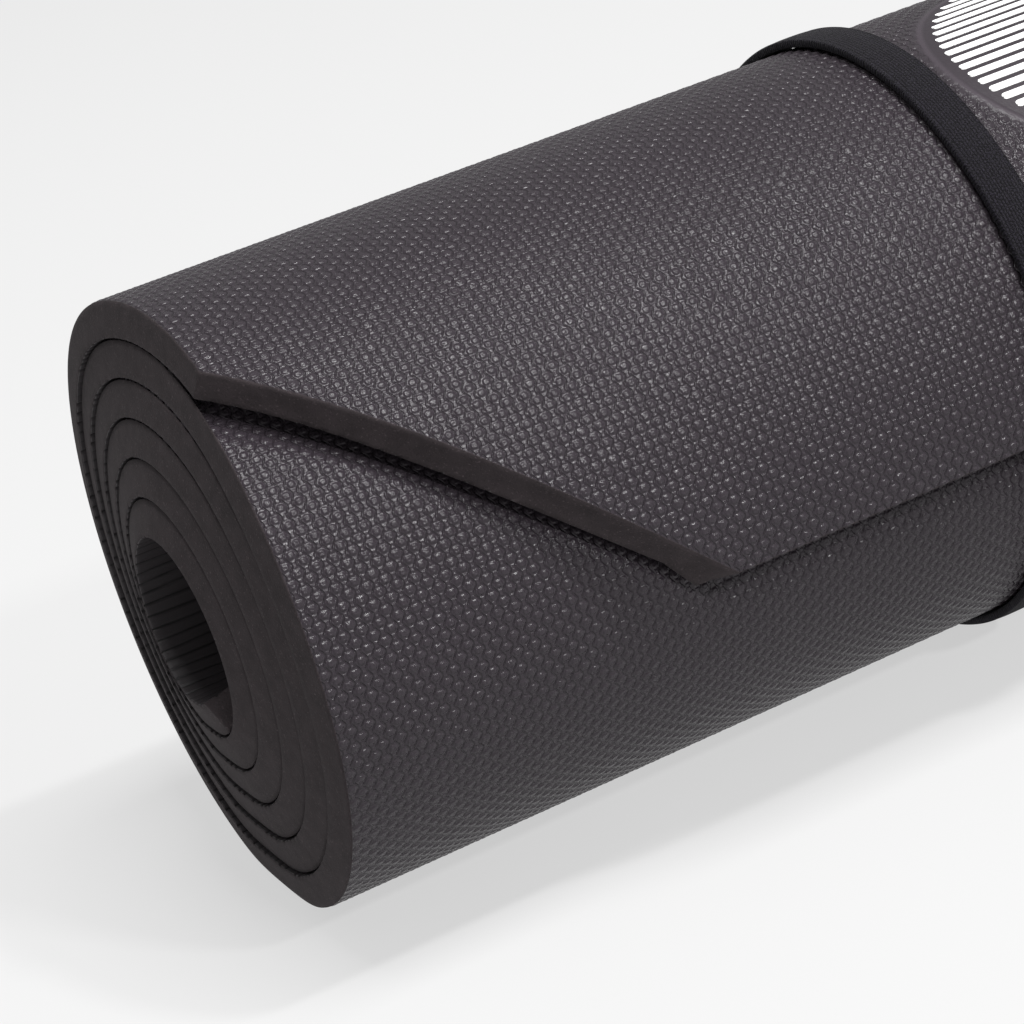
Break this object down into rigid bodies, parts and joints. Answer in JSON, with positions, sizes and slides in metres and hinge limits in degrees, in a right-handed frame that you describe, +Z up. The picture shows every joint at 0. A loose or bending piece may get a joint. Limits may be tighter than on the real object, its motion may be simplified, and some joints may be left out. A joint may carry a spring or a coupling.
{
  "type": "rolled exercise mat",
  "caption": "Foam exercise mat with cut corners and an embossed face, rolled into a spiral and held by knitted elastic bands that slide along the roll.",
  "frame": {"origin": "on the ground under the middle of the roll, at the centre of the box round the whole object", "axes": "+X along the roll, away from the end whose cut corner faces the viewer; +Y to the back; +Z up"},
  "size_m": [0.61, 0.1575, 0.1514],
  "materials": {
    "foam": "matte",
    "ink": "matte",
    "elastic": "matte",
    "thread": "satin"
  },
  "bodies": {
    "roll": {"mat_sheet": "foam", "motif_print": "ink"},
    "left_band": {"band_left": "elastic", "band_left_stitching": "thread"},
    "right_band": {"band_right": "elastic", "band_right_stitching": "thread"}
  },
  "joints": [
    {"name": "left_band_slide", "type": "slide", "parent": "roll", "child": "left_band", "axis": [1, 0, 0], "range_m": [-0.174, 0.111]},
    {"name": "right_band_slide", "type": "slide", "parent": "roll", "child": "right_band", "axis": [1, 0, 0], "range_m": [-0.111, 0.174]}
  ]
}
